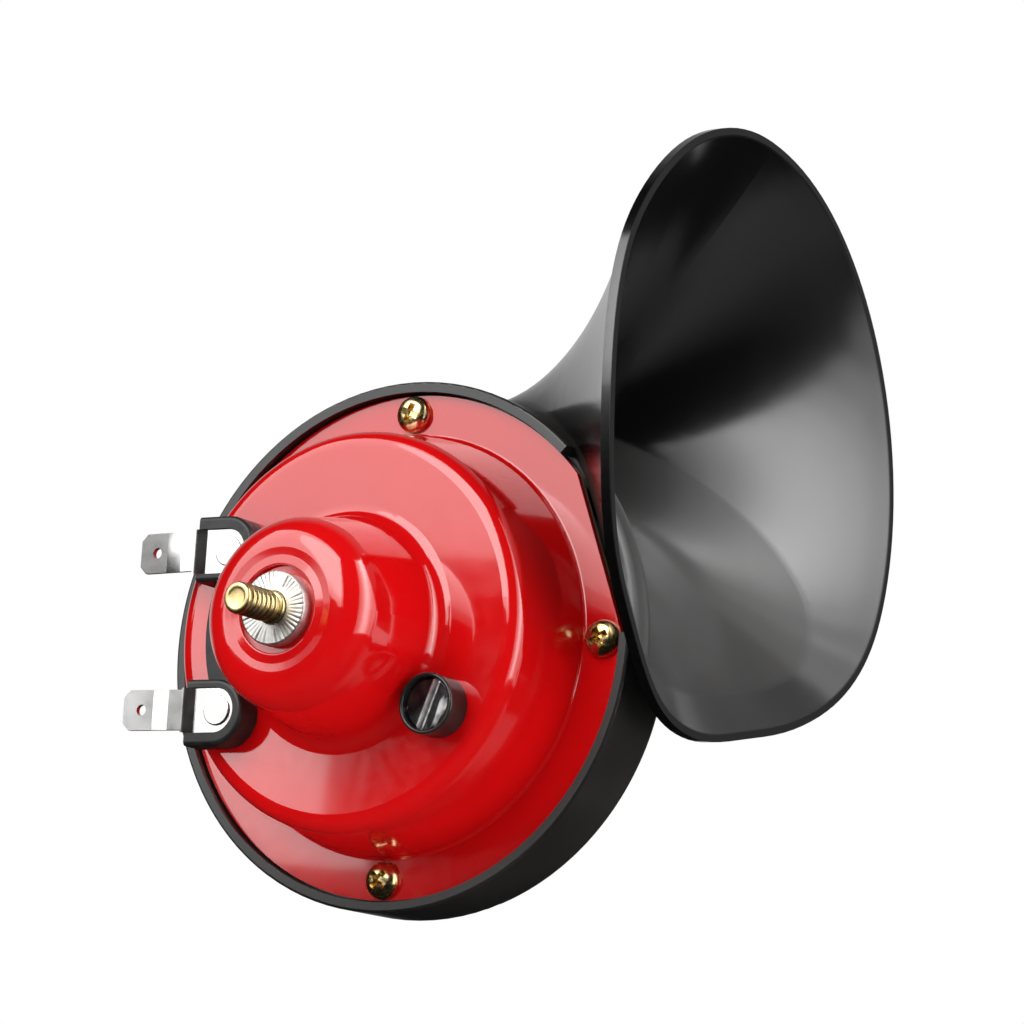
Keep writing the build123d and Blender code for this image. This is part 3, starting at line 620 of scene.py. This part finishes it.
# name, azimuths, elevations, distance, level: the key from the front left, and a narrow strip below it
LAMPS = (
    ("key", (-62.0, 12.0), (10.0, 56.0), 0.9, 2.6),
    ("key_core", (-30.0, 14.0), (10.0, 50.0), 0.88, 2.2),
    ("strip", (-46.0, -34.0), (2.6, 9.4), 0.92, 3.2),
)
# the side lamp: upright strips from one azimuth to another, each with its level, all leaning to the side
SIDE_ELEVATIONS = (-16.0, 57.0)
SIDE_DISTANCE = 0.9
SIDE_LEAN = 11.0
SIDE_GRADES = (
    (60.0, 63.0, 1.1), (63.0, 66.0, 1.4), (66.0, 69.0, 1.8), (69.0, 72.0, 2.2), (72.0, 75.0, 2.8),
    (75.0, 78.0, 3.6), (78.0, 81.0, 4.7), (81.0, 84.0, 5.2), (84.0, 87.0, 5.2), (87.0, 90.0, 5.0),
    (90.0, 94.0, 4.3), (94.0, 98.0, 3.2), (98.0, 104.0, 2.2), (104.0, 116.0, 1.4), (116.0, 136.0, 0.9),
)


def direction(azimuth, elevation):
    """Unit vector to a compass point: azimuth 0 is -Y, the way the stud points, and 90 is +X."""
    a = math.radians(azimuth)
    e = math.radians(elevation)
    return Vector((math.sin(a) * math.cos(e), -math.cos(a) * math.cos(e), math.sin(e)))


def softbox(name, azimuths, elevations, distance, level, lean=0.0):
    """A rectangular lamp that fills a range of directions seen from the horn, as bright as level."""
    middle = direction(sum(azimuths) / 2, sum(elevations) / 2)
    across = math.radians(azimuths[1] - azimuths[0]) * math.cos(math.radians(sum(elevations) / 2))
    upright = math.radians(elevations[1] - elevations[0])
    data = bpy.data.lights.new(name, "AREA")
    data.shape = "RECTANGLE"
    data.size = 2.0 * distance * math.tan(across / 2)
    data.size_y = 2.0 * distance * math.tan(upright / 2)
    data.energy = level * math.pi * data.size * data.size_y
    lamp = bpy.data.objects.new(name, data)
    bpy.context.scene.collection.objects.link(lamp)
    lamp.location = LIT_CENTRE + middle * distance
    lamp.rotation_mode = "QUATERNION"
    facing = (-middle).to_track_quat("-Z", "Y")
    lamp.rotation_quaternion = facing @ Quaternion((0.0, 0.0, 1.0), -math.radians(lean))
    lamp.visible_camera = False


def lamps():
    """The key, its strip and the graded side lamp."""
    for lamp in LAMPS:
        softbox(*lamp)
    for number, (start, end, level) in enumerate(SIDE_GRADES):
        softbox(f"side_{number}", (start, end), SIDE_ELEVATIONS, SIDE_DISTANCE, level, SIDE_LEAN)


# ---------------------------------------------------------------- floor and world
FLOOR_LEVEL = -0.4
FLOOR_SIZE = 8.0
FLOOR_GREY = 0.8
FLOOR_LIFT = 0.5
FILL_LEVEL = 0.42
STUDIO_FRONT = 0.008
STUDIO_BELOW = 0.2
BACKDROP_HIGH = 0.22
BACKDROP_LOW = 0.50


def stage_material():
    """Pale to the light and lifted towards white for the camera alone, with the shadow kept."""
    material, shader = new_material("stage_white")
    shader.inputs["Base Color"].default_value = (FLOOR_GREY, FLOOR_GREY, FLOOR_GREY, 1.0)
    shader.inputs["Roughness"].default_value = 0.9
    shader.inputs["Emission Color"].default_value = WHITE
    path = add_node(material, "ShaderNodeLightPath")
    link(material, maths(material, "MULTIPLY", path.outputs["Is Camera Ray"], FLOOR_LIFT),
         shader.inputs["Emission Strength"])
    return material


def floor():
    """A wide plain floor under the horn."""
    shape = bmesh.new()
    bmesh.ops.create_grid(shape, x_segments=1, y_segments=1, size=FLOOR_SIZE)
    mesh = bpy.data.meshes.new("floor")
    shape.to_mesh(mesh)
    shape.free()
    mesh.materials.append(stage_material())
    ground = bpy.data.objects.new("floor", mesh)
    ground.location = (0.0, 0.0, FLOOR_LEVEL)
    ground.visible_glossy = False
    bpy.context.scene.collection.objects.link(ground)


def world():
    """White to the camera and grey to the light.

    Reflections show a pale backdrop behind the horn, paler low down, a faint table below it on the right,
    and a dark studio in front.
    """
    sky = bpy.data.worlds.new("studio")
    sky.use_nodes = True
    bpy.context.scene.world = sky
    background = sky.node_tree.nodes["Background"]
    background.inputs["Color"].default_value = WHITE
    path = add_node(sky, "ShaderNodeLightPath").outputs
    ray = split_point(sky, add_node(sky, "ShaderNodeTexCoord").outputs["Generated"])

    def held(operation, first, second):
        return maths(sky, operation, first, second, use_clamp=True)

    behind = step(sky, ray["Y"], 0.1, 0.45)
    above = step(sky, ray["Z"], -0.06, 0.02)
    low_down = step(sky, ray["Z"], 0.55, 0.3)
    level = held("ADD", held("MULTIPLY", low_down, BACKDROP_LOW - BACKDROP_HIGH), BACKDROP_HIGH)
    backdrop = held("MULTIPLY", held("MULTIPLY", behind, above), level)
    right = step(sky, ray["X"], 0.2, 0.5)
    below = step(sky, ray["Z"], -0.38, -0.42)
    table = held("MULTIPLY", held("MULTIPLY", held("MULTIPLY", behind, right), below), STUDIO_BELOW)
    studio = mixed(sky, held("ADD", backdrop, table), STUDIO_FRONT, 1.0)
    bounced = held("ADD", path["Is Glossy Ray"], path["Is Transmission Ray"])
    lit = mixed(sky, bounced, FILL_LEVEL, studio)
    link(sky, mixed(sky, path["Is Camera Ray"], lit, 1.0), background.inputs["Strength"])


def main():
    """Finishes, detail pieces, camera and lights."""
    finish_nodes()
    stud_thread()
    washer_teeth()
    for side in SCREW_TURN:
        cover_screw(side)
    camera()
    world()
    floor()
    lamps()


main()
bpy.context.scene.view_settings.view_transform = "Standard"
